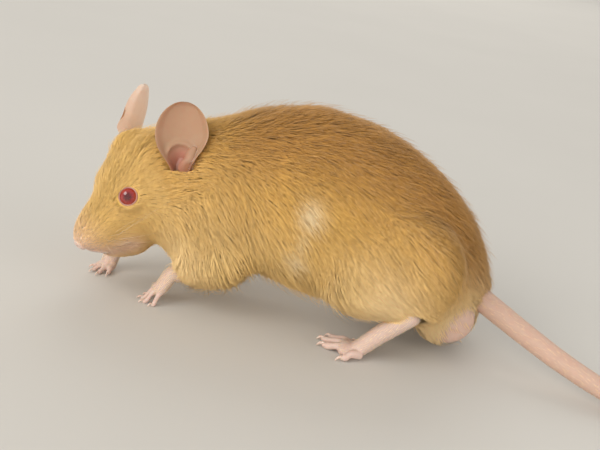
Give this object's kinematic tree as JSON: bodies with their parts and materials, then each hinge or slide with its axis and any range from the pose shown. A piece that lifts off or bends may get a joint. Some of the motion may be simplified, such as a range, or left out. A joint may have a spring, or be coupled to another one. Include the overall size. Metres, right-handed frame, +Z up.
{
  "type": "still model of a buff-coloured pet mouse",
  "caption": "Life-size still model of a fawn, ruby-eyed male pet mouse, walking with its head low and turned to its left, for a display.",
  "frame": {"origin": "centre of the bounding box in plan, on the floor the feet stand on", "axes": "+Z up from the floor; the nose is toward -X and the tail toward +X; the mouse's left side is toward -Y"},
  "size_m": [0.1604, 0.0362, 0.0436],
  "materials": {
    "coat": "short fur lying flat, buff with darker ticking on the back",
    "skin": "pink skin with sparse pale hairs",
    "ear": "thin pink skin, slightly translucent",
    "eye": "wet ruby red, nearly black in the middle",
    "tail": "pink ringed skin with sparse hairs"
  },
  "bodies": {
    "root": {"head": "coat", "neck": "coat", "trunk": "coat", "left_foreleg": "coat", "right_foreleg": "coat", "left_hind_leg": "coat", "right_hind_leg": "coat", "scrotum": "coat", "left_forefoot": "skin", "right_forefoot": "skin", "left_hind_foot": "skin", "right_hind_foot": "skin", "left_ear": "ear", "right_ear": "ear", "left_eye": "eye", "right_eye": "eye", "tail_base": "tail", "tail_middle": "tail", "tail_tip": "tail"}
  },
  "joints": []
}
